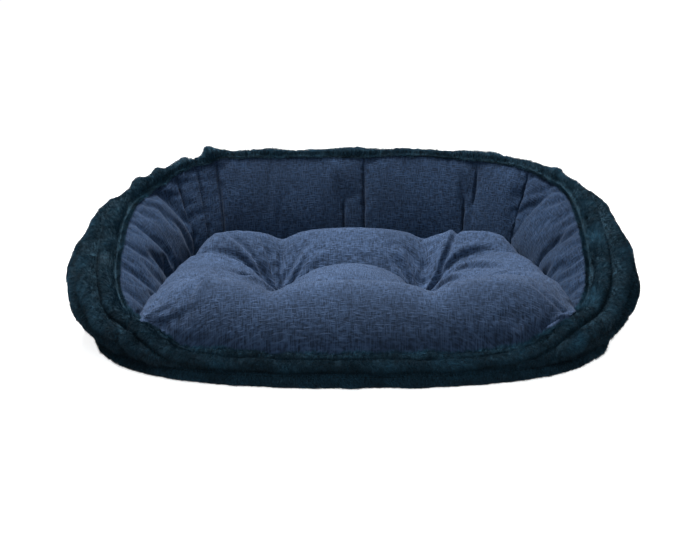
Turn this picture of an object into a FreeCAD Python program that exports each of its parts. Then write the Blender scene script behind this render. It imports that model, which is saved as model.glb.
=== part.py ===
import FreeCAD, Part
import math
import os

# Pet cushion bed: a bolster bed with a quilted plush outside, a woven lining and a loose tufted cushion.
# Millimetres, +Z up, +X to the right of someone facing the low front, the front towards -Y.
# The origin is the centre of the bed's underside.

DIMENSIONS = [
    ("rim_half_width", 400, "rim seam, centre line to each arm"),
    ("rim_back_reach", 270, "rim seam, centre to the back"),
    ("rim_front_reach", 315, "rim seam, centre to the front"),
    ("rim_back_squareness", 3.0, "superellipse power of the rim behind the centre"),
    ("rim_front_squareness", 2.7, "superellipse power of the rim ahead of the centre"),
    ("rim_back_height", 268, "rim seam above the floor at the back"),
    ("rim_front_height", 43, "rim seam above the floor at the front roll"),
    ("slope_front", -270, "the arms start to rise here"),
    ("slope_back", 250, "the arms reach full height here"),
    ("slab_height", 22, "quilted base under the wall and the cushion"),
    ("bottom_cloth", 1.5, "non-slip cloth under the base"),
    ("deck_cloth", 1.5, "woven cloth on top of the base"),
    ("band_plush", 6, "plush strip round the base"),
    ("plush_thick", 8, "plush cover of the arms and the back, with its backing"),
    ("plush_corner", 6, "plush cover at the front corners"),
    ("plush_thin", 4, "plush cover of the front roll"),
    ("lining_thick", 2.2, "woven lining"),
    ("layer_gap", 0.9, "slack between the filling and its cloth"),
    ("seat_gap", 0.4, "slack between the wall and the base"),
    ("panel_corner_back", 42, "angle of the panel seams at the back corners"),
    ("panel_corner_front", 322, "angle of the panel seams at the front corners"),
    ("channel_pitch", 44, "quilting lines below the rim, along the plush"),
    ("channel_count", 5, "quilting lines"),
    ("thread_radius", 0.8, "sewing thread"),
    ("cushion_floor_gap", 0.4, "cushion above the deck"),
    ("cushion_height", 118, "loose cushion at its crown"),
    ("cushion_cloth", 2.2, "woven cushion cover"),
    ("cushion_lip", 2.4, "edge seam allowance outside the cushion"),
    ("tuft_spread_x", 130, "tufts from the centre line"),
    ("tuft_spread_y", 85, "tufts from the cushion's middle row"),
    ("tuft_middle_y", -40, "middle of the tufts"),
    ("tie_radius", 1.5, "tuft tie cord"),
]

doc = FreeCAD.newDocument("pet_cushion_bed")
sheet = doc.addObject("Spreadsheet::Sheet", "Dimensions")
for row, (alias, value, note) in enumerate(DIMENSIONS, start=1):
    sheet.set(f"A{row}", note)
    sheet.set(f"B{row}", str(value))
    sheet.setAlias(f"B{row}", alias)
doc.recompute()


def dim(alias):
    return float(sheet.get(alias))


# Distance of each line of the wall's section outside the rim seam: back, arms, front corners, front.
PLACES = (0.0, 0.5, 0.82, 1.0)
INNER_FOOT = (-60, -66, -37, -12)
INNER_MIDDLE = (-55, -58, -30, -11)
CROWN = (11, 37, 24, 10)
SHOULDER = (49, 76, 48, 20)
BULGE = (70, 88, 58, 26)
OUTER_FOOT = (52, 35, 28, 20)
BASE_EDGE = (55, 38, 29, 25)
CUSHION_EDGE = (-66, -72, -43, -18)

# Heights of the same lines, as a share of the wall from the slab to the crown.
CROWN_RISE = (10, 17, 10, 4)
SHOULDER_SHARE = (0.80, 0.84, 0.82, 0.80)
BULGE_SHARE = (0.42, 0.50, 0.46, 0.42)
INNER_MIDDLE_SHARE = 0.45

STATION_SPACING = 55.0
OUTLINE_POINTS = 48
THREAD_STITCHES = 96
THREAD_CLEARANCE = 2.4
SEAM_DROP = 2.0
BASE_SEAM_GAP = 1.0
LAST_CHANNEL = 24.0
LOFT_TOLERANCE = 0.001


def signed_power(value, power):
    return math.copysign(abs(value) ** power, value)


def rim_plan(angle):
    """Rim seam seen from above; 0 degrees is the right arm and 90 the back."""
    cosine = math.cos(math.radians(angle))
    sine = math.sin(math.radians(angle))
    behind = sine >= 0
    square = dim("rim_back_squareness") if behind else dim("rim_front_squareness")
    reach = dim("rim_back_reach") if behind else dim("rim_front_reach")
    x = dim("rim_half_width") * signed_power(cosine, 2.0 / square)
    y = reach * signed_power(sine, 2.0 / square)
    return x, y


def rim_station(angle):
    """Point on the rim seam with the outward direction in plan."""
    x, y = rim_plan(angle)
    ahead = rim_plan(angle + 0.5)
    behind = rim_plan(angle - 0.5)
    along_x = ahead[0] - behind[0]
    along_y = ahead[1] - behind[1]
    length = math.hypot(along_x, along_y)
    return x, y, along_y / length, -along_x / length


def spaced_angles(first, last, count):
    """Angles whose stations are evenly spaced along the rim seam."""
    fine = [first + (last - first) * i / 720.0 for i in range(721)]
    points = [rim_plan(angle) for angle in fine]
    run = [0.0]
    for a, b in zip(points, points[1:]):
        run.append(run[-1] + math.hypot(b[0] - a[0], b[1] - a[1]))
    angles = []
    step = 0
    for i in range(count + 1):
        target = run[-1] * i / count
        while step < 719 and run[step + 1] < target:
            step += 1
        part = (target - run[step]) / (run[step + 1] - run[step])
        angles.append(fine[step] + (fine[step + 1] - fine[step]) * min(part, 1.0))
    return angles


def by_place(y, values):
    """Value eased between those for the back, the arms, the front corners and the front."""
    back = dim("rim_back_reach")
    share = (back - y) / (back + dim("rim_front_reach"))
    share = min(max(share, 0.0), 1.0)
    for k in range(3):
        if share <= PLACES[k + 1]:
            part = (share - PLACES[k]) / (PLACES[k + 1] - PLACES[k])
            eased = 0.5 - 0.5 * math.cos(math.pi * part)
            return values[k] + (values[k + 1] - values[k]) * eased
    return values[-1]


def rim_height(y):
    start = dim("slope_front")
    rise = min(max((y - start) / (dim("slope_back") - start), 0.0), 1.0)
    eased = 0.8 * rise + 0.2 * rise * rise * (3.0 - 2.0 * rise)
    low = dim("rim_front_height")
    return low + (dim("rim_back_height") - low) * eased


def place(station, offset, z):
    x, y, out_x, out_y = station
    return FreeCAD.Vector(x + out_x * offset, y + out_y * offset, z)


def section_lines(station):
    """Section of the wall as (distance outside the rim, height) pairs."""
    y = station[1]
    seat = dim("slab_height") + dim("seat_gap")
    rim = rim_height(y)
    crown = rim + by_place(y, CROWN_RISE)
    tall = crown - seat
    plush = by_place(y, (dim("plush_thick"), dim("plush_thick"), dim("plush_corner"), dim("plush_thin")))
    lining = dim("lining_thick")
    outer = [
        (0.0, rim),
        (by_place(y, CROWN), crown),
        (by_place(y, SHOULDER), seat + tall * by_place(y, SHOULDER_SHARE)),
        (by_place(y, BULGE), seat + tall * by_place(y, BULGE_SHARE)),
        (by_place(y, OUTER_FOOT), seat),
    ]
    core_top = (by_place(y, CROWN) * 0.35, rim - plush * 0.9)
    outer_core = [
        (outer[1][0] * 0.97, crown - plush),
        (outer[2][0] - plush * 0.8, outer[2][1] - plush * 0.5),
        (outer[3][0] - plush, outer[3][1]),
        (outer[4][0] - plush, seat),
    ]
    inner = [
        (by_place(y, INNER_MIDDLE), seat + (rim - seat) * INNER_MIDDLE_SHARE),
        (by_place(y, INNER_FOOT), seat),
    ]
    inner_core = [(inner[0][0] + lining, inner[0][1]), (inner[1][0] + lining, seat)]
    return outer, outer_core, inner, inner_core, core_top


def moved(points, sideways, up):
    """Section points shifted; the last one stays on the base."""
    shifted = [(u + sideways, z + up) for u, z in points]
    shifted[-1] = (shifted[-1][0], points[-1][1])
    return shifted


def curve_edge(points):
    curve = Part.BSplineCurve()
    curve.interpolate(points)
    return curve.toShape()


def cover_section(station):
    outer, outer_core, inner, inner_core, core_top = section_lines(station)
    outside = [place(station, *p) for p in outer]
    inside = [place(station, *p) for p in [core_top] + outer_core]
    return Part.Wire([
        curve_edge(outside),
        Part.makeLine(outside[-1], inside[-1]),
        curve_edge(inside[::-1]),
        Part.makeLine(inside[0], outside[0]),
    ])


def lining_section(station):
    outer, outer_core, inner, inner_core, core_top = section_lines(station)
    gap = dim("layer_gap")
    shown = [place(station, *p) for p in [(outer[0][0] - gap, outer[0][1] - gap)] + inner]
    hidden = [place(station, *p) for p in [(core_top[0] - gap, core_top[1] - gap)] + inner_core]
    return Part.Wire([
        curve_edge(shown),
        Part.makeLine(shown[-1], hidden[-1]),
        curve_edge(hidden[::-1]),
        Part.makeLine(hidden[0], shown[0]),
    ])


def fill_section(station):
    outer, outer_core, inner, inner_core, core_top = section_lines(station)
    gap = dim("layer_gap")
    top = [(core_top[0] + 0.5 * gap, core_top[1] - 2.0 * gap)]
    outside = [place(station, *p) for p in top + moved(outer_core, -gap, -gap)]
    inside = [place(station, *p) for p in top + moved(inner_core, gap, 0.0)]
    return Part.Wire([
        curve_edge(outside),
        Part.makeLine(outside[-1], inside[-1]),
        curve_edge(inside[::-1]),
    ])


def plan_curve(offsets, height, scale=(1.0, 1.0), middle_y=0.0, shift=0.0):
    """Closed outline that follows the rim seam at the given distances."""
    points = []
    for angle in spaced_angles(0.0, 360.0, OUTLINE_POINTS)[:-1]:
        station = rim_station(angle)
        point = place(station, by_place(station[1], offsets) + shift, height)
        point.x = point.x * scale[0]
        point.y = middle_y + (point.y - middle_y) * scale[1]
        points.append(point)
    curve = Part.BSplineCurve()
    curve.interpolate(points, PeriodicFlag=True)
    return Part.Wire(curve.toShape())


def add_shape(name, shape):
    feature = doc.addObject("Part::Feature", name)
    feature.Shape = shape
    feature.Label = name
    return feature


def add_plate(name, outline, height_expression):
    """Flat sheet cut to an outline, as thick as the table says."""
    profile = add_shape(f"{name}_outline", Part.Face(outline))
    plate = doc.addObject("Part::Extrusion", name)
    plate.Base = profile
    plate.DirMode = "Custom"
    plate.Dir = FreeCAD.Vector(0, 0, 1)
    plate.Solid = True
    plate.setExpression("LengthFwd", height_expression)
    plate.Label = name
    return plate


nodes = []

# Base: non-slip cloth, batting and deck cloth, inside a plush strip.
slab = dim("slab_height")
inside_band = -dim("band_plush")
nodes.append(add_plate("bottom_cloth", plan_curve(BASE_EDGE, 0.0, shift=inside_band), "Dimensions.bottom_cloth"))
nodes.append(add_plate(
    "base_pad",
    plan_curve(BASE_EDGE, dim("bottom_cloth"), shift=inside_band),
    "Dimensions.slab_height - Dimensions.bottom_cloth - Dimensions.deck_cloth",
))
nodes.append(add_plate(
    "deck_cloth",
    plan_curve(BASE_EDGE, slab - dim("deck_cloth"), shift=inside_band),
    "Dimensions.deck_cloth",
))
band_outside = add_plate("band_outside", plan_curve(BASE_EDGE, 0.0), "Dimensions.slab_height")
band_inside = add_plate("band_inside", plan_curve(BASE_EDGE, 0.0, shift=inside_band), "Dimensions.slab_height")
base_band = doc.addObject("Part::Cut", "base_band")
base_band.Base = band_outside
base_band.Tool = band_inside
base_band.Label = "base_band"
nodes.append(base_band)

# Wall: back, arms and front roll, each with its own filling, plush cover and lining.
back_seam = dim("panel_corner_back")
front_seam = dim("panel_corner_front")
PANELS = {
    "back": (back_seam, 180.0 - back_seam),
    "left": (180.0 - back_seam, 540.0 - front_seam),
    "front": (540.0 - front_seam, front_seam),
    "right": (front_seam, 360.0 + back_seam),
}
SKINS = {"wall_filling": fill_section, "plush_cover": cover_section, "woven_lining": lining_section}
for side, (first, last) in PANELS.items():
    length = sum(
        math.dist(rim_plan(first + (last - first) * i / 60.0), rim_plan(first + (last - first) * (i + 1) / 60.0))
        for i in range(60)
    )
    stations = [rim_station(a) for a in spaced_angles(first, last, round(length / STATION_SPACING))]
    for skin, section in SKINS.items():
        solid = Part.makeLoft([section(station) for station in stations], True, False)
        solid.fix(LOFT_TOLERANCE, LOFT_TOLERANCE, LOFT_TOLERANCE)
        nodes.append(add_shape(f"{skin}_{side}", solid))

# Sewing threads: one straight stitch after another, six-sided, with a fresh end where the seam closes.
def thread(name, path, ups):
    radius = dim("thread_radius")
    sections = []
    for i, point in enumerate(path):
        ahead = path[min(i + 1, len(path) - 1)]
        behind = path[max(i - 1, 0)]
        along = (ahead - behind).normalize()
        side = along.cross(ups[i]).normalize()
        up = side.cross(along)
        corners = []
        for k in range(6):
            turn = math.radians(60 * k)
            corners.append(point + side * (radius * math.cos(turn)) + up * (radius * math.sin(turn)))
        sections.append(Part.makePolygon(corners + [corners[0]]))
    return add_shape(name, Part.makeLoft(sections, True, True))


def outside_path(distance):
    """Path over the plush at a distance from the rim seam, as far as the wall is high enough."""
    path = []
    ups = []
    for angle in spaced_angles(-90.0, 270.0, THREAD_STITCHES):
        station = rim_station(angle)
        edge = curve_edge([place(station, *p) for p in section_lines(station)[0]])
        if edge.Length < distance + LAST_CHANNEL:
            continue
        spot = edge.Curve.parameterAtDistance(distance, edge.FirstParameter)
        down = edge.Curve.tangent(spot)[0]
        along_wall = FreeCAD.Vector(-station[3], station[2], 0)
        normal = down.cross(along_wall).normalize()
        path.append(edge.Curve.value(spot) + normal * seam_gap)
        ups.append(normal)
    return path, ups


seam_gap = dim("thread_radius") + THREAD_CLEARANCE
for line in range(int(dim("channel_count"))):
    path, ups = outside_path(dim("channel_pitch") * (line + 1))
    nodes.append(thread(f"channel_thread_{line + 1}", path, ups))

rim_path = []
foot_path = []
outward = []
for angle in spaced_angles(-90.0, 269.0, THREAD_STITCHES):
    station = rim_station(angle)
    y = station[1]
    rim_path.append(place(station, -seam_gap, rim_height(y) + seam_gap))
    foot_path.append(place(station, by_place(y, BASE_EDGE) + dim("thread_radius") + BASE_SEAM_GAP, slab - SEAM_DROP))
    outward.append(FreeCAD.Vector(station[2], station[3], 0))
nodes.append(thread("rim_seam_thread", rim_path, outward))
nodes.append(thread("base_seam_thread", foot_path, outward))

# Loose cushion: filling in a two-piece woven cover, tied through at four tufts.
CUSHION_LEVELS = [
    (0.00, 0.92),
    (0.14, 0.975),
    (0.44, 1.00),
    (0.66, 0.97),
    (0.84, 0.875),
    (0.95, 0.69),
    (1.00, 0.38),
]
cushion_floor = slab + dim("cushion_floor_gap")
cushion_tall = dim("cushion_height")
cushion_middle = dim("tuft_middle_y")


def cushion_body(inset):
    outlines = []
    for level, width in CUSHION_LEVELS:
        height = cushion_floor + inset + (cushion_tall - 2.0 * inset) * level
        outlines.append(plan_curve(CUSHION_EDGE, height, (width, width), cushion_middle, -inset))
    return Part.makeLoft(outlines, True, False)


cushion_outside = cushion_body(0.0)
cushion_inside = cushion_body(dim("cushion_cloth"))
edge_height = cushion_floor + cushion_tall * 0.44
big = 1000.0
lower_half = Part.makeBox(2 * big, 2 * big, edge_height, FreeCAD.Vector(-big, -big, 0))

ties = []
for back_name, y_side in (("back", 1), ("front", -1)):
    for side_name, x_side in (("left", -1), ("right", 1)):
        tie = doc.addObject("Part::Cylinder", f"tuft_tie_{back_name}_{side_name}")
        tie.setExpression("Radius", "Dimensions.tie_radius")
        tie.setExpression("Height", "Dimensions.cushion_height * 0.93")
        tie.setExpression("Placement.Base.x", f"{x_side} * Dimensions.tuft_spread_x")
        tie.setExpression("Placement.Base.y", f"Dimensions.tuft_middle_y + {y_side} * Dimensions.tuft_spread_y")
        tie.setExpression("Placement.Base.z", "Dimensions.slab_height + Dimensions.cushion_floor_gap")
        tie.Label = tie.Name
        ties.append(tie)
doc.recompute()
tie_shapes = [tie.Shape for tie in ties]

skin = cushion_outside.cut(cushion_inside)
nodes.append(add_shape("cushion_top_panel", skin.cut(lower_half).cut(tie_shapes)))
nodes.append(add_shape("cushion_bottom_panel", skin.common(lower_half).cut(tie_shapes)))
nodes.append(add_shape("cushion_filling", cushion_inside.cut(tie_shapes)))

lip = dim("cushion_lip")
lip_face = Part.Face(plan_curve(CUSHION_EDGE, edge_height - 1.0, shift=lip))
lip_ring = lip_face.extrude(FreeCAD.Vector(0, 0, 2)).cut(cushion_outside)
nodes.append(add_shape("cushion_edge_seam", lip_ring))
nodes.extend(ties)

doc.recompute()
for item in doc.Objects:
    if "Invalid" in item.State or "Error" in item.State:
        raise RuntimeError(f"{item.Label} did not recompute: {item.State}")
for node in nodes:
    if node.Shape.isNull() or not node.Shape.isValid():
        raise RuntimeError(f"{node.Label} has no valid shape")

os.makedirs("parts", exist_ok=True)
for node in nodes:
    node.Shape.exportStep(f"parts/{node.Label}.step")
    print(node.Label, round(node.Shape.Volume / 1000.0, 1), "cm3", len(node.Shape.Solids))
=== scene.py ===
import itertools
import math

import bpy
import numpy as np
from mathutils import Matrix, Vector


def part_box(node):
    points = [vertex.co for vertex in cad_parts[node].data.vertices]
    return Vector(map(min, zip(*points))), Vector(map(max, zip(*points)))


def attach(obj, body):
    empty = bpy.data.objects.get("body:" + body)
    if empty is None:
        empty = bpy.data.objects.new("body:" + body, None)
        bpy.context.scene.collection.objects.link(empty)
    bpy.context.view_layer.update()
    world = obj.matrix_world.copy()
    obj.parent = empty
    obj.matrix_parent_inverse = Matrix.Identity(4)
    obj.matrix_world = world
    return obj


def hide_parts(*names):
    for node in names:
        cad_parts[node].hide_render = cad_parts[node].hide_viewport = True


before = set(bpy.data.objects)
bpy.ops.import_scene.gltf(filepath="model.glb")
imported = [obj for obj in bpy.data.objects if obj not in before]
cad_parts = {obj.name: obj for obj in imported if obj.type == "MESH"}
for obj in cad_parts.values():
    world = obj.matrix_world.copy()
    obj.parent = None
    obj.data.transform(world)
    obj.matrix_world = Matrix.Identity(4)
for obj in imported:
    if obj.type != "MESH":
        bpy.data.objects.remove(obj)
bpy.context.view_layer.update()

# ---------------------------------------------------------------- sizes, in metres
SLAB_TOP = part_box("deck_cloth")[1].z
BAND_LOW, BAND_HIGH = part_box("base_band")
RIM_HALF_WIDTH = 0.400
RIM_BACK_REACH = 0.270
RIM_FRONT_REACH = 0.315
RIM_BACK_SQUARENESS = 3.0
RIM_FRONT_SQUARENESS = 2.7
RIM_BACK_HEIGHT = 0.268
RIM_FRONT_HEIGHT = 0.043
SLOPE_FRONT = -0.270
SLOPE_BACK = 0.250

# Distance of each line of the wall's section outside the rim seam: back, arms, front corners, front.
PLACES = (0.0, 0.5, 0.82, 1.0)
INNER_FOOT = (-0.060, -0.066, -0.037, -0.012)
INNER_MIDDLE = (-0.055, -0.058, -0.030, -0.011)
CROWN = (0.011, 0.037, 0.024, 0.010)
SHOULDER = (0.049, 0.076, 0.048, 0.020)
BULGE = (0.070, 0.088, 0.058, 0.026)
OUTER_FOOT = (0.052, 0.035, 0.028, 0.020)
BASE_EDGE = (0.055, 0.038, 0.029, 0.025)
CROWN_RISE = (0.010, 0.017, 0.010, 0.004)
SHOULDER_SHARE = (0.80, 0.84, 0.82, 0.80)
BULGE_SHARE = (0.42, 0.50, 0.46, 0.42)
INNER_MIDDLE_SHARE = 0.45
PANEL_ENDS = {"back": (42, 138), "left": (138, 218), "front": (218, 322), "right": (322, 402)}
CHANNEL_PITCH = 0.044
CHANNEL_COUNT = 5
CHANNEL_DEPTH = 0.022
LIP_GROOVE = 0.0090
TUCK_DEPTH = 0.011
FRONT_SEAMS = (218, 322)


# ---------------------------------------------------------------- noise
def hashed(i, j, k, seed):
    """A number from -1 to 1 for each lattice cell, the same on every run."""
    h = (i * 0x8DA6B343) ^ (j * 0xD8163841) ^ (k * 0xCB1AB31F) ^ (seed * 0x9E3779B1)
    h = h & 0xFFFFFFFF
    h = ((h ^ (h >> 15)) * 0x2C1B3C6D) & 0xFFFFFFFF
    h = ((h ^ (h >> 12)) * 0x297A2D39) & 0xFFFFFFFF
    return (h ^ (h >> 15)) / 0xFFFFFFFF * 2.0 - 1.0


def noise(points, size, seed=0):
    """Smooth noise from -1 to 1 that changes over about one size."""
    p = np.asarray(points, float) / size
    cell = np.floor(p).astype(np.int64)
    f = p - cell
    f = f * f * f * (f * (f * 6 - 15) + 10)
    total = 0.0
    for corner in itertools.product((0, 1), repeat=3):
        i, j, k = (cell[..., axis] + corner[axis] for axis in range(3))
        wi, wj, wk = (f[..., axis] if corner[axis] else 1 - f[..., axis] for axis in range(3))
        total = total + wi * wj * wk * hashed(i, j, k, seed)
    return total


def layered(points, size, octaves, seed=0):
    """Noise with finer, weaker noise added on top."""
    total = 0.0
    for k in range(octaves):
        total = total + noise(points, size / 2**k, seed + 17 * k) * 0.5**k
    return total


def smooth(x, low, high):
    """0 below low and 1 above high, eased between them."""
    t = np.clip((x - low) / (high - low), 0.0, 1.0)
    return t * t * (3 - 2 * t)


def hump(away, wide):
    """1 at no distance, falling smoothly away to nothing over about two widths."""
    return np.exp(-((away / wide) ** 2))


def unit(vectors):
    """Vectors of the same directions, one long."""
    return vectors / np.maximum(np.linalg.norm(vectors, axis=-1), 1e-12)[..., None]


def travelled(points):
    """Distance from a line's first point to each of its points, along the line."""
    return np.concatenate([[0], np.cumsum(np.linalg.norm(np.diff(points, axis=0), axis=1))])


def on_floor(xy):
    """The same places as points at no height."""
    return np.concatenate([xy, np.zeros((len(xy), 1))], 1)


# ---------------------------------------------------------------- the wall
def by_place(y, values):
    """A measure at each y, eased between its values at the back, arms, front corners and front."""
    share = np.clip((RIM_BACK_REACH - y) / (RIM_BACK_REACH + RIM_FRONT_REACH), 0.0, 1.0)
    result = np.full(np.shape(share), float(values[0]))
    for k in range(3):
        part = np.clip((share - PLACES[k]) / (PLACES[k + 1] - PLACES[k]), 0.0, 1.0)
        result = result + (values[k + 1] - values[k]) * (0.5 - 0.5 * np.cos(np.pi * part))
    return result


def rim_plan(degrees):
    """The rim seam seen from above: a superellipse, squarer at the back."""
    angle = np.radians(degrees)
    c, s = np.cos(angle), np.sin(angle)
    square = np.where(s >= 0, RIM_BACK_SQUARENESS, RIM_FRONT_SQUARENESS)
    reach = np.where(s >= 0, RIM_BACK_REACH, RIM_FRONT_REACH)
    x = RIM_HALF_WIDTH * np.sign(c) * np.abs(c) ** (2 / square)
    y = reach * np.sign(s) * np.abs(s) ** (2 / square)
    return np.stack([x, y], -1)


# Extra stations beside a sewn line, and how near it no other station may be.
DENSE_STEPS = np.array([-0.006, -0.0025, 0, 0.0025, 0.006])
DENSE_CLEAR = 0.0075


class Stations:
    """Points along the rim seam between two angles, evenly spaced, with their outward directions."""

    def __init__(self, first, last, count, dense=()):
        fine = np.linspace(first, last, 2881)
        points = rim_plan(fine)
        run = travelled(points)
        self.run = np.linspace(0, run[-1], count + 1)
        for angle in dense:
            at = np.interp(angle, fine, run)
            self.run = self.run[np.abs(self.run - at) > DENSE_CLEAR]
            self.run = np.sort(np.concatenate([self.run, at + DENSE_STEPS]))
        self.angle = np.interp(self.run, run, fine)
        self.length = run[-1]
        self.xy = rim_plan(self.angle)
        along = unit(rim_plan(self.angle + 0.5) - rim_plan(self.angle - 0.5))
        self.out = np.stack([along[:, 1], -along[:, 0]], -1)
        self.y = self.xy[:, 1]
        self.rim = rim_height(self.xy)

    def place(self, offset, z):
        """Points at distances outside the rim seam and at heights, one row per station."""
        offset = np.asarray(offset, float)
        z = np.asarray(z, float)
        shape = (-1,) + (1,) * (offset.ndim - 1)
        x = self.xy[:, 0].reshape(shape) + self.out[:, 0].reshape(shape) * offset
        y = self.xy[:, 1].reshape(shape) + self.out[:, 1].reshape(shape) * offset
        return np.stack([x, y, np.broadcast_to(z, x.shape)], -1)


def rim_height(xy):
    """Height of the rim seam, with the uneven line that stuffing gives it."""
    rise = np.clip((xy[:, 1] - SLOPE_FRONT) / (SLOPE_BACK - SLOPE_FRONT), 0.0, 1.0)
    eased = 0.8 * rise + 0.2 * rise * rise * (3 - 2 * rise)
    height = RIM_FRONT_HEIGHT + (RIM_BACK_HEIGHT - RIM_FRONT_HEIGHT) * eased
    flat = on_floor(xy)
    tall = 0.25 + 0.75 * eased
    height = height + tall * (0.0045 * noise(flat, 0.13, 3) + 0.0020 * noise(flat, 0.045, 4))
    left_back = np.exp(-(((xy[:, 0] + 0.34) / 0.10) ** 2 + ((xy[:, 1] - 0.22) / 0.12) ** 2))
    corner = np.exp(-(((np.abs(xy[:, 0]) - 0.335) / 0.05) ** 2 + ((xy[:, 1] + 0.225) / 0.05) ** 2))
    return height + 0.015 * corner - (0.010 - 0.006 * noise(flat, 0.035, 5)) * left_back


def curve_through(controls, samples):
    """Centripetal Catmull-Rom curve through control points, for all stations at once."""
    count = controls.shape[1]
    before = 2 * controls[:, :1] - controls[:, 1:2]
    after = 2 * controls[:, -1:] - controls[:, -2:-1]
    p = np.concatenate([before, controls, after], 1)
    knots = np.linalg.norm(np.diff(p, axis=1), axis=2) ** 0.5
    pieces = []
    for k in range(1, count):
        t0 = np.zeros(len(p))
        t1 = t0 + knots[:, k - 1]
        t2 = t1 + knots[:, k]
        t3 = t2 + knots[:, k + 1]
        steps = np.linspace(0, 1, samples, endpoint=k == count - 1)
        t = t1[:, None] + (t2 - t1)[:, None] * steps[None]

        def lerp(a, b, ta, tb):
            w = ((t - ta[:, None]) / (tb - ta)[:, None])[..., None]
            return a * (1 - w) + b * w

        p0, p1, p2, p3 = (p[:, k + step, None] for step in (-1, 0, 1, 2))
        a1, a2, a3 = lerp(p0, p1, t0, t1), lerp(p1, p2, t1, t2), lerp(p2, p3, t2, t3)
        b1 = lerp(a1, a2, t0, t2)
        b2 = lerp(a2, a3, t1, t3)
        pieces.append(lerp(b1, b2, t1, t2))
    return np.concatenate(pieces, 1)


def resampled(curve, shares):
    """Points at shares of each curve's length, and those lengths."""
    steps = np.linalg.norm(np.diff(curve, axis=1), axis=2)
    run = np.concatenate([np.zeros((len(curve), 1)), np.cumsum(steps, 1)], 1)
    points = np.empty((len(curve), len(shares), curve.shape[2]))
    for i in range(len(curve)):
        for axis in range(curve.shape[2]):
            points[i, :, axis] = np.interp(shares * run[i, -1], run[i], curve[i, :, axis])
    return points, run[:, -1]


def section_points(pairs):
    """Control points of the wall's section, from (distance outside the rim seam, height) at every station."""
    return np.stack([np.stack(np.broadcast_arrays(*pair), -1) for pair in pairs], 1)


def outside_section(stations, shares):
    """The wall's outside from the rim seam over the crown to its foot, and its length at each station."""
    y, rim = stations.y, stations.rim
    crown = rim + by_place(y, CROWN_RISE)
    tall = crown - SLAB_TOP
    controls = section_points([
        (0.0, rim),
        (by_place(y, CROWN), crown),
        (by_place(y, SHOULDER), SLAB_TOP + tall * by_place(y, SHOULDER_SHARE)),
        (by_place(y, BULGE), SLAB_TOP + tall * by_place(y, BULGE_SHARE)),
        (by_place(y, OUTER_FOOT), SLAB_TOP),
    ])
    section, length = resampled(curve_through(controls, 16), shares)
    return stations.place(section[..., 0], section[..., 1]), length


def inside_section(stations, shares):
    """The wall's inside from the rim seam down to the deck, and its length at each station."""
    y, rim = stations.y, stations.rim
    controls = section_points([
        (0.0, rim),
        (by_place(y, INNER_MIDDLE), SLAB_TOP + (rim - SLAB_TOP) * INNER_MIDDLE_SHARE),
        (by_place(y, INNER_FOOT), SLAB_TOP),
    ])
    section, length = resampled(curve_through(controls, 24), shares)
    return stations.place(section[..., 0], section[..., 1]), length


def grid_normals(points):
    """The direction straight out of a grid surface at each point."""
    return unit(np.cross(np.gradient(points, axis=1), np.gradient(points, axis=0)))


# ---------------------------------------------------------------- meshes
def placed(name, data):
    """A new object in the scene."""
    obj = bpy.data.objects.new(name, data)
    bpy.context.scene.collection.objects.link(obj)
    return obj


def new_object(name, mesh, body, replaced, material):
    """A smooth piece that rides on a body and stands for CAD nodes."""
    obj = placed(name, mesh)
    mesh.polygons.foreach_set("use_smooth", [True] * len(mesh.polygons))
    mesh.materials.append(material)
    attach(obj, body)
    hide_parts(*replaced)
    return obj


def numbered(columns, rows, closed):
    """Point numbers of a grid, with the first column again after the last where it closes into a ring."""
    index = np.arange(columns * rows).reshape(columns, rows)
    return np.concatenate([index, index[:1]], 0) if closed else index


def quads_of(index, turned=False):
    """Quads between neighbours in a grid of point numbers, taken the other way round if turned."""
    corners = [index[:-1, :-1], index[1:, :-1], index[1:, 1:], index[:-1, 1:]]
    if turned:
        corners = [corners[k] for k in (0, 3, 2, 1)]
    return np.stack(corners, -1).reshape(-1, 4)


def cloth_mesh(name, points, faces, cloth):
    """Mesh of points and faces; cloth holds each point's place on the flat cloth, in metres."""
    mesh = bpy.data.meshes.new(name)
    mesh.from_pydata(points.tolist(), [], faces)
    mesh.update()
    corners = np.empty(len(mesh.loops), np.int32)
    mesh.loops.foreach_get("vertex_index", corners)
    layer = mesh.uv_layers.new(name="cloth")
    layer.data.foreach_set("uv", cloth[corners, :2].astype(np.float32).reshape(-1))
    return mesh


def grid_mesh(name, points, cloth, closed=False, flip=False):
    """Mesh of a grid of points, closed into a ring if it says so."""
    quads = quads_of(numbered(*points.shape[:2], closed))
    if flip:
        quads = quads[:, ::-1]
    return cloth_mesh(name, points.reshape(-1, 3), quads.tolist(), cloth.reshape(-1, 2))


def level_mesh(name, half_long, half_wide, height):
    """One level rectangle round the middle of the frame."""
    corners = [(i * half_long, j * half_wide, height) for i, j in ((-1, -1), (1, -1), (1, 1), (-1, 1))]
    mesh = bpy.data.meshes.new(name)
    mesh.from_pydata(corners, [], [(0, 1, 2, 3)])
    return mesh


def flat_places(run, down):
    """Places on the flat cloth: the way along the seam, and the way down at each point of it."""
    return np.stack([np.broadcast_to(run[:, None], down.shape), down], -1)


# ---------------------------------------------------------------- materials
def set_inputs(node, values):
    """Sets a node's inputs by their names."""
    for name, value in values.items():
        node.inputs[name].default_value = value


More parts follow.
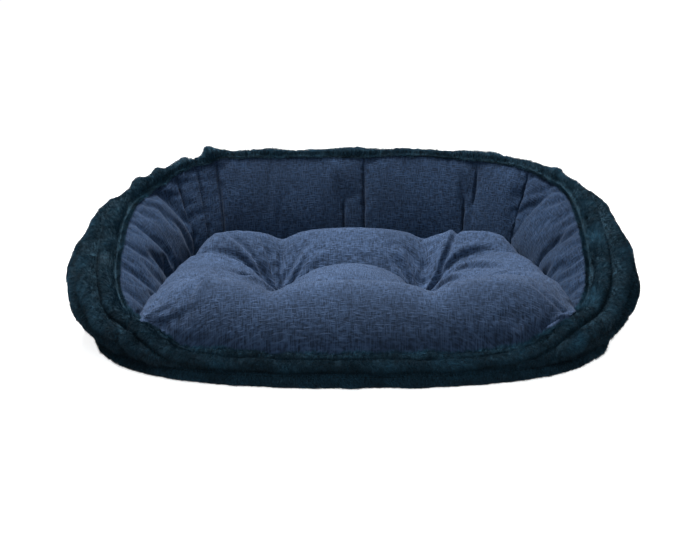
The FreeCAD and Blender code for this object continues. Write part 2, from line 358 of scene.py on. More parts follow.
class Nodes:
    """A material's node tree, with its shader and short calls for the nodes used here."""

    def __init__(self, name, colour, roughness, sheen=0.0, sheen_tint=(1, 1, 1), specular=0.5):
        self.material = bpy.data.materials.new(name)
        self.material.use_nodes = True
        self.tree = self.material.node_tree
        self.shader = self.tree.nodes["Principled BSDF"]
        set_inputs(self.shader, {
            "Base Color": (*colour, 1), "Roughness": roughness, "Specular IOR Level": specular,
            "Sheen Weight": sheen, "Sheen Roughness": 0.45, "Sheen Tint": (*sheen_tint, 1),
        })
        self.material.diffuse_color = (*colour, 1)

    def node(self, kind, **settings):
        node = self.tree.nodes.new(kind)
        for key, value in settings.items():
            setattr(node, key, value)
        return node

    def link(self, output, target):
        if isinstance(output, (int, float, tuple)):
            target.default_value = output
        else:
            self.tree.links.new(output, target)

    def cloth_place(self, along=1.0, down=1.0):
        """Places on the flat cloth, stretched by the two numbers."""
        place = self.node("ShaderNodeUVMap", uv_map="cloth")
        scaled = self.node("ShaderNodeVectorMath", operation="MULTIPLY")
        self.link(place.outputs["UV"], scaled.inputs[0])
        scaled.inputs[1].default_value = (along, down, 1)
        return scaled.outputs["Vector"]

    def object_place(self):
        return self.node("ShaderNodeTexCoord").outputs["Object"]

    def noise(self, place, scale=1.0, detail=2.0, roughness=0.5, distortion=0.0):
        node = self.node("ShaderNodeTexNoise")
        self.link(place, node.inputs["Vector"])
        set_inputs(node, {"Scale": scale, "Detail": detail, "Roughness": roughness, "Distortion": distortion})
        return node.outputs["Fac"]

    def ramp(self, value, low, high, first=0.0, last=1.0):
        node = self.node("ShaderNodeMapRange", interpolation_type="SMOOTHSTEP")
        self.link(value, node.inputs["Value"])
        set_inputs(node, {"From Min": low, "From Max": high, "To Min": first, "To Max": last})
        return node.outputs["Result"]

    def sum(self, a, b, operation="ADD"):
        node = self.node("ShaderNodeMath", operation=operation)
        self.link(a, node.inputs[0])
        self.link(b, node.inputs[1])
        return node.outputs["Value"]

    def mixed(self, share, first, second):
        """One colour going to another; each is a colour or another mix."""
        node = self.node("ShaderNodeMix", data_type="RGBA")
        self.link(share, node.inputs["Factor"])
        for number, colour in ((6, first), (7, second)):
            self.link((*colour, 1) if isinstance(colour, tuple) else colour, node.inputs[number])
        return node.outputs[2]

    def finish(self, colour, height, depth):
        self.tree.links.new(colour, self.shader.inputs["Base Color"])
        bump = self.node("ShaderNodeBump")
        set_inputs(bump, {"Strength": 1.0, "Distance": depth})
        self.link(height, bump.inputs["Height"])
        self.tree.links.new(bump.outputs["Normal"], self.shader.inputs["Normal"])
        return self.material


def tinted(colour, share):
    """The colour made darker or lighter."""
    return tuple(c * share for c in colour)


def woven_material(name, colour, pitch, streak, depth):
    """Slubby woven cloth: uneven threads both ways, with lighter flecks and worn patches."""
    m = Nodes(name, colour, 0.92, sheen=0.06, sheen_tint=(0.55, 0.70, 1.0), specular=0.10)
    fine = 1.0 / pitch
    long = 1.0 / streak
    warp, weft, thin_warp, thin_weft, slub_across, slub_down = (
        m.noise(m.cloth_place(*scale), detail=detail)
        for scale, detail in (
            ((fine, long), 1.5), ((long, fine), 1.5),
            ((fine * 2.3, long * 1.6), 0.0), ((long * 1.6, fine * 2.3), 0.0),
            ((long * 0.8, fine * 1.3), 0.0), ((fine * 1.3, long * 0.7), 0.0),
        )
    )
    worn = m.noise(m.object_place(), scale=9.0, detail=5.0, roughness=0.65)
    crossing = m.sum(m.sum(warp, weft), m.sum(m.sum(thin_warp, thin_weft), 0.5, "MULTIPLY"))
    shade = m.ramp(crossing, 1.18, 1.82)
    base = m.mixed(shade, tinted(colour, 0.40), tinted(colour, 1.50))
    flecks = m.sum(m.ramp(slub_across, 0.57, 0.72), m.ramp(slub_down, 0.57, 0.72), "MAXIMUM")
    base = m.mixed(m.sum(flecks, 0.55, "MULTIPLY"), base, tuple(c * 1.9 + 0.010 for c in colour))
    base = m.mixed(m.ramp(worn, 0.35, 0.66, 0.0, 0.42), base, tinted(colour, 0.42))
    height = m.sum(crossing, m.sum(flecks, 0.6, "MULTIPLY"))
    return m.finish(base, height, depth)


def plush_material(name, colour, tip, depth):
    """Short dense pile: streaks that follow the way it lies, brushed patches and lighter tips."""
    m = Nodes(name, colour, 0.85, sheen=0.04, sheen_tint=(0.3, 0.7, 1.0), specular=0.10)
    streaks = m.noise(m.cloth_place(420.0, 150.0), detail=3.0, roughness=0.65, distortion=0.6)
    brushed = m.noise(m.cloth_place(38.0, 24.0), detail=4.0, roughness=0.6, distortion=0.8)
    grain = m.noise(m.cloth_place(900.0, 600.0), detail=1.0)
    base = m.mixed(m.ramp(streaks, 0.34, 0.66), tinted(colour, 0.35), tinted(colour, 1.5))
    tips = m.sum(m.ramp(brushed, 0.48, 0.70), m.ramp(streaks, 0.48, 0.72), "MULTIPLY")
    base = m.mixed(m.sum(tips, 0.75, "MULTIPLY"), base, tip)
    base = m.mixed(m.ramp(brushed, 0.30, 0.50, 0.55, 0.0), base, tinted(colour, 0.30))
    height = m.sum(streaks, m.sum(grain, 0.5, "MULTIPLY"))
    return m.finish(base, height, depth)


def thread_material(name, colour):
    """Twisted thread: the colour in lighter and darker turns."""
    m = Nodes(name, colour, 0.8, specular=0.1)
    twist = m.noise(m.object_place(), scale=900.0, detail=1.0)
    base = m.mixed(m.ramp(twist, 0.4, 0.6), tinted(colour, 0.6), tinted(colour, 1.5))
    return m.finish(base, twist, 0.0002)


WOVEN_COLOUR = (0.0262, 0.0455, 0.0890)
PLUSH_COLOUR = (0.0078, 0.0262, 0.0425)
PLUSH_TIP = (0.044, 0.098, 0.138)
# The lining is the cushion's woven cloth made darker and bluer: painted shade on the inside of the wall.
LINING_SHADED_COLOUR = (0.0100, 0.0224, 0.0490)
LINING = woven_material("woven_lining", LINING_SHADED_COLOUR, 0.0022, 0.011, 0.0006)
WOVEN = woven_material("woven_cloth", WOVEN_COLOUR, 0.0023, 0.011, 0.0006)
PLUSH = plush_material("plush", PLUSH_COLOUR, PLUSH_TIP, 0.0022)
BASE_CLOTH = woven_material("base_cloth", (0.012, 0.016, 0.024), 0.0009, 0.0025, 0.0003)
THREAD = thread_material("plush_thread", (0.002, 0.006, 0.010))
CUSHION_THREAD = thread_material("cushion_thread", (0.012, 0.022, 0.044))
# Shades of the pile's blades, darkest to lightest: tone that differs at random, and also painted shade in the
# seams and a painted highlight on the front lip's crest.
PILE_SHADES = (0.40, 0.85, 1.6, 3.1)
PILE_FINISH = {"sheen": 0.03, "sheen_tint": (0.3, 0.7, 1.0), "specular": 0.10}
PILE = [
    Nodes(f"pile_{k + 1}", tinted(PLUSH_COLOUR, shade), 0.8, **PILE_FINISH).material
    for k, shade in enumerate(PILE_SHADES)
]

# ---------------------------------------------------------------- plush cover
ROWS = 110
FRONT_ROWS = 60
COLUMN_WIDTH = 0.0026
# How much longer the outside of the wall is than its rim seam, about.
OUTSIDE_SHARE = 1.2
# Gathered bunches on the rim: angle, height, and width in degrees.
RIM_BUNCHES = (
    (122, 0.010, 1.9), (132, 0.012, 2.1), (143, 0.009, 2.2), (154, 0.010, 2.8), (90, 0.004, 1.4),
    (104, 0.003, 2.0), (58, 0.003, 2.0), (31, 0.008, 2.4), (14, 0.005, 3.0),
)


def plush_surface(stations, shares):
    """The quilted plush skin, its length down the wall, and how deep in a seam each point is, less a share on
    the front lip's crest; the pile takes this for shorter blades with painted shade in the seams, and longer
    blades with a painted highlight on the crest.
    """
    base, length = outside_section(stations, shares)
    normal = grid_normals(base)
    down = shares[None] * length[:, None]
    flat = on_floor(stations.xy)
    wander = 0.0030 * noise(flat, 0.09, 16)[:, None]
    to_foot = length[:, None] - down
    closing = smooth(down, 0.0, 0.010) * smooth(to_foot, 0.0, 0.014)
    phase = np.mod((down + wander * closing) / CHANNEL_PITCH, 1.0)
    rib = (4 * phase * (1 - phase)) ** 0.5
    depth = CHANNEL_DEPTH * np.clip(length / 0.15, 0.35, 1.0)[:, None]
    swell = (rib - 0.85) * depth * closing
    bunched = hump(stations.angle - 134, 14)[:, None]
    lumps = (0.0035 * layered(base, 0.075, 2, 11) + bunched * 0.009 * noise(base, 0.024, 17)) * closing
    pile = (0.0011 * noise(base, 0.009, 12) + 0.0006 * noise(base, 0.0045, 13)) * smooth(down, 0, 0.006)
    for angle, tall, wide in RIM_BUNCHES:
        near = hump((stations.angle - angle + 180) % 360 - 180, wide)[:, None]
        lumps = lumps + near * tall * hump(down - 0.022, 0.026) * closing
    corner = hump(stations.angle - 222, 15) + hump(stations.angle - 318, 15)
    slant = stations.run[:, None] + 0.5 * np.sign(stations.xy[:, :1]) * down
    gather = np.abs(np.sin(np.pi * (slant + 0.010 * noise(base, 0.06, 18)) / 0.036)) ** 0.7 - 0.6
    lumps = lumps + 0.0065 * corner[:, None] * gather * smooth(down, 0.004, 0.03) * closing
    at_front = smooth(-stations.y, 0.20, 0.27)[:, None]
    lip_line = 0.0130 + 0.0025 * noise(flat, 0.06, 14)[:, None]
    groove = hump(down - lip_line, 0.0036) * LIP_GROOVE
    lip_crest = hump(down - 0.006, 0.0042)
    lip_top = lip_crest * (0.0070 + 0.003 * noise(flat, 0.03, 15)[:, None])
    tuck = 0.0
    for seam in FRONT_SEAMS:
        seam_at = rim_plan(np.array([float(seam)]))
        away = np.linalg.norm(stations.xy - seam_at, axis=1)[:, None]
        tuck = tuck + hump(away, 0.007) * smooth(down, 0.0, 0.006)
    raised = swell + lumps + pile + at_front * (lip_top - groove) - TUCK_DEPTH * tuck * closing
    surface = base + normal * raised[..., None]
    in_channel = hump(np.minimum(phase, 1 - phase) * CHANNEL_PITCH, 0.0065) * closing
    seam_depth_and_shade = np.clip(in_channel + at_front * groove / LIP_GROOVE + tuck, 0, 1)
    # Less on the front lip's crest, where the pile gets longer blades and a painted highlight.
    return surface, length, seam_depth_and_shade - 0.6 * at_front * lip_crest


PILE_COUNT = {"back": 150000, "left": 120000, "right": 120000, "front": 90000, "base": 90000}
PILE_LENGTH = 0.0072
BASE_PILE_LENGTH = 0.0065
# A blade starts this far under the skin.
BLADE_ROOT = 0.0006
BLADE_HALF_WIDTH = 0.00045
# Least heights: pile and bottom cloth over the floor, band over the floor and cushion over the deck.
FLOOR_CLEAR = 0.0006
SKIN_CLEAR = 0.0008


def blade_mesh(name, roots, tips, across, shade):
    """Mesh of one narrow blade of pile for each root and tip."""
    count = len(roots)
    points = np.stack([roots - across, roots + across, tips], 1).reshape(-1, 3)
    mesh = bpy.data.meshes.new(name)
    mesh.vertices.add(count * 3)
    mesh.vertices.foreach_set("co", points.astype(np.float32).reshape(-1))
    mesh.loops.add(count * 3)
    mesh.loops.foreach_set("vertex_index", np.arange(count * 3, dtype=np.int32))
    mesh.polygons.add(count)
    mesh.polygons.foreach_set("loop_start", np.arange(0, count * 3, 3, dtype=np.int32))
    for material in PILE:
        mesh.materials.append(material)
    mesh.polygons.foreach_set("material_index", shade.astype(np.int32))
    mesh.update(calc_edges=True)
    mesh.validate()
    return mesh


def add_pile(name, surface, count, long, seed, node, seam_depth_and_shade=None):
    """Short fibres all over a grid surface, lying mostly the way the pile is brushed."""
    draw = np.random.default_rng(seed)
    normal = grid_normals(surface)
    across = np.gradient(surface, axis=0)
    down = np.gradient(surface, axis=1)
    area = np.linalg.norm(np.cross(across, down), axis=2)[:-1, :-1]
    if seam_depth_and_shade is not None:
        area[:, :2] *= 6
    chosen = draw.choice(area.size, size=count, p=(area / area.sum()).reshape(-1))
    i, j = np.unravel_index(chosen, area.shape)
    u, v = draw.random(count)[:, None], draw.random(count)[:, None]

    def between(grid):
        return (
            grid[i, j] * (1 - u) * (1 - v) + grid[i + 1, j] * u * (1 - v)
            + grid[i, j + 1] * (1 - u) * v + grid[i + 1, j + 1] * u * v
        )

    root = between(surface)
    up = unit(between(normal))
    fall = unit(between(down))
    side = unit(np.cross(up, fall))
    brushed = layered(root, 0.035, 2, seed + 1)
    clump = noise(root, 0.006, seed + 2)
    sunk_and_shade = between(seam_depth_and_shade[..., None])[:, 0] if seam_depth_and_shade is not None else np.zeros(count)
    turn = 1.0 * brushed + 0.5 * clump + 0.4 * draw.standard_normal(count)
    lean = 1.18 + 0.26 * noise(root, 0.02, seed + 3) + 0.22 * draw.standard_normal(count)
    at_rim = (j < 2) & (seam_depth_and_shade is not None)
    turn = np.where(at_rim, np.pi + 0.8 * draw.standard_normal(count), turn)
    lying = fall * np.cos(turn)[:, None] + side * np.sin(turn)[:, None]
    direction = unit(up * np.cos(lean)[:, None] + lying * np.sin(lean)[:, None])
    size = long * (0.75 + 0.25 * brushed + 0.35 * draw.random(count)) * (1 - 0.6 * sunk_and_shade)
    tip = root + direction * size[:, None]
    tip[:, 2] = np.maximum(tip[:, 2], FLOOR_CLEAR)
    spin = draw.random(count) * np.pi
    wide = unit(np.cross(direction, up))
    flat = wide * np.cos(spin)[:, None] + np.cross(direction, wide) * np.sin(spin)[:, None]
    # Tone differs at random with the brushing and clumps; it is darker in the seams as painted shade, and
    # lighter on the front lip's crest as a painted highlight.
    tone = 1.35 + 1.0 * brushed + 0.5 * clump + 0.38 * draw.standard_normal(count) - 1.7 * sunk_and_shade
    shade = np.clip(np.round(tone), 0, len(PILE) - 1)
    mesh = blade_mesh(name, root - up * BLADE_ROOT, tip, flat * BLADE_HALF_WIDTH, shade)
    pile = placed(name, mesh)
    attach(pile, "bed")
    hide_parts(node)


for number, (side, (first, last)) in enumerate(PANEL_ENDS.items()):
    columns = int(Stations(first, last, 4).length * OUTSIDE_SHARE / COLUMN_WIDTH)
    stations = Stations(first, last, columns)
    shares = np.linspace(0, 1, (FRONT_ROWS if side == "front" else ROWS) + 1)
    surface, length, seam_depth_and_shade = plush_surface(stations, shares)
    cloth = flat_places(stations.run, shares[None] * length[:, None])
    mesh = grid_mesh(f"plush_{side}", surface, cloth, flip=True)
    hidden = [f"plush_cover_{side}", f"wall_filling_{side}"]
    new_object(f"plush_{side}", mesh, "bed", hidden, PLUSH)
    add_pile(f"pile_{side}", surface, PILE_COUNT[side], PILE_LENGTH, 100 + number, hidden[0], seam_depth_and_shade)

# ---------------------------------------------------------------- base: plush band, pad, cloths
# The band's section, top to bottom: distance outside the base's edge, and share of the band's height.
BAND_SECTION = ((-0.016, 1.02), (-0.004, 1.06), (0.0025, 0.78), (0.004, 0.45), (0.001, 0.12), (-0.012, 0.03))
BAND_SHARES = np.linspace(0, 1, 19)
SHEET_INSET = 0.006
PAD_INSET = 0.010


def band_surface(stations):
    """The base band's skin, from under the wall's foot down to the floor, and its length at each station."""
    tall = BAND_HIGH.z - BAND_LOW.z
    edge = by_place(stations.y, BASE_EDGE)
    controls = section_points([(edge + offset, BAND_LOW.z + tall * level) for offset, level in BAND_SECTION])
    section, length = resampled(curve_through(controls, 10), BAND_SHARES)
    surface = stations.place(section[..., 0], section[..., 1])
    normal = grid_normals(surface)
    uneven = 0.0022 * layered(surface, 0.05, 3, 41)
    surface = surface + normal * (uneven * np.sin(np.pi * BAND_SHARES)[None])[..., None]
    surface[..., 2] = np.maximum(surface[..., 2], SKIN_CLEAR)
    return surface, length


band_stations = Stations(0, 360, 900)
surface, length = band_surface(band_stations)
cloth = flat_places(band_stations.run, BAND_SHARES[None] * length[:, None])
mesh = grid_mesh("base_plush_band", surface, cloth, flip=True)
new_object("base_plush_band", mesh, "bed", ["base_band"], PLUSH)
add_pile("pile_base", surface, PILE_COUNT["base"], BASE_PILE_LENGTH, 140, "base_band")


def base_outline(inset, count=240):
    stations = Stations(0, 360, count)
    return stations.place(by_place(stations.y, BASE_EDGE) - inset, 0.0)[:-1]


def laid_surface(inset, height, rings=60):
    """Rings of points that fill the base's outline, flat, at one height."""
    outline = base_outline(inset)
    middle = np.array([0.0, -0.02, 0.0])
    share = np.linspace(0.0, 1.0, rings + 1)[1:] ** 0.9
    points = middle + (outline[:, None] - middle) * share[None, :, None]
    points[..., 2] = height
    return points


def disc_mesh(name, points, flip=False):
    """Mesh of rings of points round a middle, on which the cloth lies flat."""
    columns, rings = points.shape[:2]
    index = numbered(columns, rings, True)
    centre = columns * rings
    fan = [(centre, int(index[k, 0]), int(index[k + 1, 0])) for k in range(columns)]
    faces = quads_of(index, turned=True).tolist() + fan
    if flip:
        faces = [face[::-1] for face in faces]
    every = np.concatenate([points.reshape(-1, 3), points[:, 0].mean(0)[None]])
    return cloth_mesh(name, every, faces, every)


for name, node, height, flip in (
    ("deck_sheet", "deck_cloth", SLAB_TOP + 0.0002, False),
    ("bottom_sheet", "bottom_cloth", FLOOR_CLEAR, True),
):
    points = laid_surface(SHEET_INSET, height)
    sheet = new_object(name, disc_mesh(name, points, flip), "bed", [node], BASE_CLOTH)

pad_low, pad_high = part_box("base_pad")
pad_top = laid_surface(PAD_INSET, pad_high.z)
pad_rim = pad_top[:, -1:] * (1, 1, 0)
pad_side = [pad_rim + (0, 0, pad_high.z + (pad_low.z - pad_high.z) * level) for level in (0.33, 0.67, 1.0)]
pad_under = pad_top[:, ::-1] * (1, 1, 0) + (0, 0, pad_low.z)
mesh = disc_mesh("base_foam_pad", np.concatenate([pad_top, *pad_side, pad_under[:, 1:]], 1))
new_object("base_foam_pad", mesh, "bed", ["base_pad"], BASE_CLOTH)

# ---------------------------------------------------------------- cloth simulation
CLOTH_SETTINGS = {
    "quality": 6, "mass": 0.15, "tension_damping": 8, "compression_damping": 8, "shear_damping": 8,
    "bending_damping": 0.5, "air_damping": 2.0, "vertex_group_mass": "held", "pin_stiffness": 1.0,
    "vertex_group_shrink": "tight", "shrink_max": 0.0,
}
CLOTH_GAP = 0.003
SLACK_LEVELS = 20


def simulate(obj, slack, pinned, frames, pressure, stiffness, bending, colliders=(), gravity=0.0, soft=None):
    """Lets a cloth mesh settle where each point has its share of spare cloth, and returns its points."""
    group = obj.vertex_groups.new(name="held")
    if soft is not None:
        for weight in np.unique(soft[soft > 0]):
            group.add([int(i) for i in np.flatnonzero(soft == weight)], float(weight), "REPLACE")
    group.add([int(i) for i in pinned], 1.0, "REPLACE")
    tight = obj.vertex_groups.new(name="tight")
    most = float(np.max(slack))
    levels = np.round((1 - np.clip(slack / most, 0, 1)) * SLACK_LEVELS).astype(int)
    for level in range(SLACK_LEVELS + 1):
        tight.add([int(i) for i in np.flatnonzero(levels == level)], level / SLACK_LEVELS, "REPLACE")
    cloth = obj.modifiers.new("cloth", "CLOTH")
    settings = cloth.settings
    for setting, value in {
        **CLOTH_SETTINGS, "bending_stiffness": bending, "shear_stiffness": stiffness * 0.4,
        "tension_stiffness": stiffness, "compression_stiffness": stiffness, "shrink_min": -most,
        "use_pressure": pressure != 0, "uniform_pressure_force": pressure,
    }.items():
        setattr(settings, setting, value)
    settings.effector_weights.gravity = gravity
    cloth.collision_settings.use_collision = bool(colliders)
    cloth.collision_settings.distance_min = CLOTH_GAP
    cloth.collision_settings.collision_quality = 3
    cloth.point_cache.frame_start = 1
    cloth.point_cache.frame_end = frames
    for other in colliders:
        other.modifiers.new("collision", "COLLISION")
        other.collision.thickness_outer = CLOTH_GAP
        other.collision.thickness_inner = 0.05
        other.collision.cloth_friction = 12
    scene = bpy.context.scene
    for step in range(1, frames + 1):
        scene.frame_set(step)
    evaluated = obj.evaluated_get(bpy.context.evaluated_depsgraph_get())
    points = np.empty(len(obj.data.vertices) * 3, np.float32)
    evaluated.data.vertices.foreach_get("co", points)
    scene.frame_set(1)
    for other in colliders:
        other.modifiers.remove(other.modifiers["collision"])
    return points.reshape(-1, 3).astype(float)


def discard(obj):
    """Takes a scratch object and its mesh away."""
    mesh = obj.data
    bpy.data.objects.remove(obj)
    bpy.data.meshes.remove(mesh)


def subdivided(obj):
    """Puts a once subdivided mesh in the place of an object's own."""
    modifier = obj.modifiers.new("finer", "SUBSURF")
    modifier.levels = modifier.render_levels = 1
    mesh = bpy.data.meshes.new_from_object(obj.evaluated_get(bpy.context.evaluated_depsgraph_get()))
    obj.modifiers.remove(modifier)
    old = obj.data
    obj.data = mesh
    bpy.data.meshes.remove(old)


# ---------------------------------------------------------------- woven lining
LINING_MESH = 0.006
LINING_ROWS = 40
LINING_ENDS = (-38, 218)
# Spare cloth in the lining: everywhere, along the arms, at the back corners, and down the wall.
SPARE = 0.012
ARM_SPARE = 0.075
CORNER_SPARE = 0.06
SPARE_DOWN = 0.06
# Sewn and pulled lines: angle, first and last share of the way down, and depth.
LINING_LINES = (
    (42, 0.02, 0.98, 0.007), (138, 0.02, 0.98, 0.007), (121, 0.02, 0.98, 0.010),
    (128.5, 0.05, 0.98, 0.009), (89.3, 0.03, 0.97, 0.010), (90.5, 0.34, 0.98, 0.010),
    (66.5, 0.30, 0.98, 0.011), (63.0, 0.06, 0.34, 0.007),
)
# A pressed fold across a line: columns beside it, and share of the depth each is raised.
FOLD_PROFILE = ((-2, 0.10), (-1, -0.10), (0, -1.0), (1, 0.22), (2, 0.16))
lining_columns = int(Stations(*LINING_ENDS, 4).length / LINING_MESH)
lining_stations = Stations(*LINING_ENDS, lining_columns, [line[0] for line in LINING_LINES])
lining_start, lining_tall = inside_section(lining_stations, np.linspace(0, 1, LINING_ROWS + 1))
run = lining_stations.run
corner_gather = hump(lining_stations.angle - 30, 16) + hump(lining_stations.angle - 152, 16)
along_arm = smooth(np.abs(lining_stations.angle - 90), 50, 75)
growth = 1 + SPARE + ARM_SPARE * along_arm + CORNER_SPARE * corner_gather
cut_run = np.concatenate([[0], np.cumsum(np.diff(run) * 0.5 * (growth[1:] + growth[:-1]))])
down = np.linspace(0, 1, LINING_ROWS + 1)[None] * lining_tall[:, None]
cut = flat_places(cut_run, down * (1 + SPARE_DOWN))


def lining_lines(rows):
    """Each line's column, how far along the line every row is, and the line's depth."""
    level = np.arange(rows) / (rows - 1)
    for angle, first, last, depth in LINING_LINES:
        column = int(np.argmin(np.abs(lining_stations.angle - angle)))
        yield column, (level - first) / (last - first), depth


def lining_creases(points, normal):
    """Pulls the lining into the wall along its lines, and says which points are held."""
    held = np.zeros(points.shape[:2], bool)
    held[:, 0] = held[:, -1] = True
    held[0, :] = held[-1, :] = True
    for column, share, depth in lining_lines(points.shape[1]):
        inside = (share >= 0) & (share <= 1)
        pull = depth * np.clip(np.sin(np.pi * np.clip(share, 0, 1)), 0.0, 1.0) ** 0.5
        points[column, inside] -= normal[column, inside] * pull[inside, None] * 0.35
        held[column, inside] = True
    return held


def sharp_creases(points):
    """Presses each line in as a narrow fold with one edge standing over it."""
    normal = grid_normals(points) * -1.0
    points = points.copy()
    for column, share, depth in lining_lines(points.shape[1]):
        fold = depth * np.sin(np.pi * np.clip(share, 0, 1)) ** 0.5
        for step, part in FOLD_PROFILE:
            points[column + step] += normal[column + step] * fold[:, None] * part
    return points


start = lining_start.copy()
held = lining_creases(start, grid_normals(lining_start) * -1.0)
lining_cloth = placed("lining_cloth", grid_mesh("lining_cloth", start, cut))
settled = start
slack = np.broadcast_to((growth - 1.0)[:, None], down.shape)
settled = simulate(
    lining_cloth, slack.reshape(-1), np.flatnonzero(held.reshape(-1)),
    frames=24, pressure=22.0, stiffness=15.0, bending=2.0,
).reshape(start.shape)
discard(lining_cloth)
settled = sharp_creases(settled)

lining_flat = flat_places(cut_run, down)
for side, (first, last) in {"right": (-38, 42), "back": (42, 138), "left": (138, 218)}.items():
    a = int(np.argmin(np.abs(lining_stations.angle - first)))
    b = int(np.argmin(np.abs(lining_stations.angle - last)))
    mesh = grid_mesh(f"lining_{side}", settled[a : b + 1], lining_flat[a : b + 1])
    lining = new_object(f"lining_{side}", mesh, "bed", [f"woven_lining_{side}"], LINING)
    subdivided(lining)

front_stations = Stations(*FRONT_SEAMS, 130)
shares = np.linspace(0, 1, 9)
surface, tall = inside_section(front_stations, shares)
mesh = grid_mesh("lining_front", surface, flat_places(front_stations.run, shares[None] * tall[:, None]))
lining = new_object("lining_front", mesh, "bed", ["woven_lining_front"], LINING)

# ---------------------------------------------------------------- sewn seams
def tube_along(points, radius, ring=6, closed=False):
    """Vertices and quads of a tube that follows points; radius is one number for each point."""
    count = len(points)
    if closed:
        along = np.roll(points, -1, 0) - np.roll(points, 1, 0)
    else:
        along = np.gradient(points, axis=0)
    along = unit(along)
    helper = np.where(np.abs(along[:, 2:3]) > 0.9, np.array([[1.0, 0, 0]]), np.array([[0, 0, 1.0]]))
    first = unit(np.cross(along, helper))
    second = np.cross(along, first)
    turn = np.linspace(0, 2 * np.pi, ring, endpoint=False)
    around = first[:, None] * np.cos(turn)[None, :, None] + second[:, None] * np.sin(turn)[None, :, None]
    vertices = points[:, None] + around * np.asarray(radius).reshape(-1, 1, 1)
    index = numbered(count, ring, closed)
    wrapped = np.concatenate([index, index[:, :1]], 1)
    faces = quads_of(wrapped, turned=True).tolist()
    if not closed:
        faces += [index[0].tolist(), index[-1][::-1].tolist()]
    return vertices.reshape(-1, 3), faces


def mesh_of_parts(name, parts):
    """One mesh of several parts, each its points and faces."""
    vertices = []
    faces = []
    start = 0
    for points, part in parts:
        vertices.append(points)
        faces += [[k + start for k in face] for face in part]
        start += len(points)
    mesh = bpy.data.meshes.new(name)
    mesh.from_pydata(np.concatenate(vertices).tolist(), [], faces)
    mesh.update()
    return mesh


def stitched(name, line, stitch, gap, radius, lift, node):
    """A row of stitches along a line of points; each stitch dips into the cloth at its ends."""
    run = travelled(line)
    shares = np.linspace(0, 1, 7)
    parts = []
    at = 0.0
    while at + stitch < run[-1]:
        where = at + stitch * shares
        points, normal = (
            np.stack([np.interp(where, run, column) for column in values.T], -1) for values in (line, lift)
        )
        points = points + normal * (np.sin(np.pi * shares) * radius * 1.6 - radius * 0.8)[:, None]
        parts.append(tube_along(points, radius * (0.55 + 0.45 * np.sin(np.pi * shares)), ring=5))
        at += stitch + gap
    new_object(name, mesh_of_parts(name, parts), "bed", [node], THREAD)


SEAM_STEPS = 240
SEAM_STATIONS = 1200
# Channels that don't cross the front start and stop on either side of this station, its middle.
FRONT_MIDDLE = 3 * SEAM_STATIONS // 4
# Least length of cover below a channel's stitches, and how far the stitches lie in the plush.
CHANNEL_END = 0.024
THREAD_SUNK = 0.0012
seam_stations = Stations(0, 360, SEAM_STATIONS)
seam_surface, seam_length, _ = plush_surface(seam_stations, np.linspace(0, 1, SEAM_STEPS + 1))
seam_normal = grid_normals(seam_surface)
for number in range(1, CHANNEL_COUNT + 1):
    wanted = CHANNEL_PITCH * number
    order = np.flatnonzero(seam_length > wanted + CHANNEL_END)
    around = np.clip(np.round(wanted / seam_length * SEAM_STEPS).astype(int), 0, SEAM_STEPS)
    if len(order) < len(seam_length):
        order = np.concatenate([order[order > FRONT_MIDDLE], order[order < FRONT_MIDDLE]])
    lift = seam_normal[order, around[order]]
    row = seam_surface[order, around[order]] - lift * THREAD_SUNK
    stitched(f"channel_stitches_{number}", row, 0.0065, 0.0022, 0.0006, lift, f"channel_thread_{number}")
rim_line = seam_surface[:, 0] + seam_normal[:, 0] * 0.0004
stitched("rim_stitches", rim_line, 0.0040, 0.0014, 0.0005, seam_normal[:, 0], "rim_seam_thread")
foot = seam_stations.place(by_place(seam_stations.y, BASE_EDGE) + 0.0006, SLAB_TOP - 0.0022)
stitched("base_stitches", foot, 0.0055, 0.0018, 0.0006, on_floor(seam_stations.out), "base_seam_thread")

# ---------------------------------------------------------------- cushion
CUSHION_CORNERS = {
    "front_left": (-0.340, -0.224), "front_right": (0.362, -0.215),
    "back_left": (-0.272, 0.155), "back_right": (0.290, 0.148),
}
CUSHION_FRONT = -0.298
CUSHION_BACK = 0.205
CUSHION_SIDE_BOW = 0.033
TUFTS = [(-0.128, 0.048), (0.124, 0.042), (-0.136, -0.126), (0.132, -0.120)]
TUFT_TOP = 0.056
TUFT_FOLDS = 7
TUFT_BOTTOM = 0.036
# Radius of the cloth that each tuft holds, and how firmly the rest of the top keeps its place.
TUFT_HELD = 0.007
FOLLOW = 0.78
CUSHION_SLACK = 0.10
CORNER_ROUNDING = 3.5
CREASE_DEPTH = 0.0070
CREASE_WIDTH = 0.0030
# Along the cushion, front to back: level of the puffs, and depth of the valley between the tufts.
PUFF_LEVEL = (
    (-0.30, -0.20, -0.125, -0.04, 0.045, 0.12, 0.21), (0.136, 0.146, 0.139, 0.132, 0.141, 0.161, 0.153),
)
VALLEY_DEPTH = (
    (-0.27, -0.20, -0.125, -0.04, 0.045, 0.12, 0.20), (0.0, 0.020, 0.040, 0.054, 0.046, 0.026, 0.012),
)
CUSHION_COLUMNS = 96
CUSHION_ROWS = 74
a, b = np.meshgrid(
    np.linspace(-1, 1, CUSHION_COLUMNS + 1), np.linspace(-1, 1, CUSHION_ROWS + 1), indexing="ij"
)


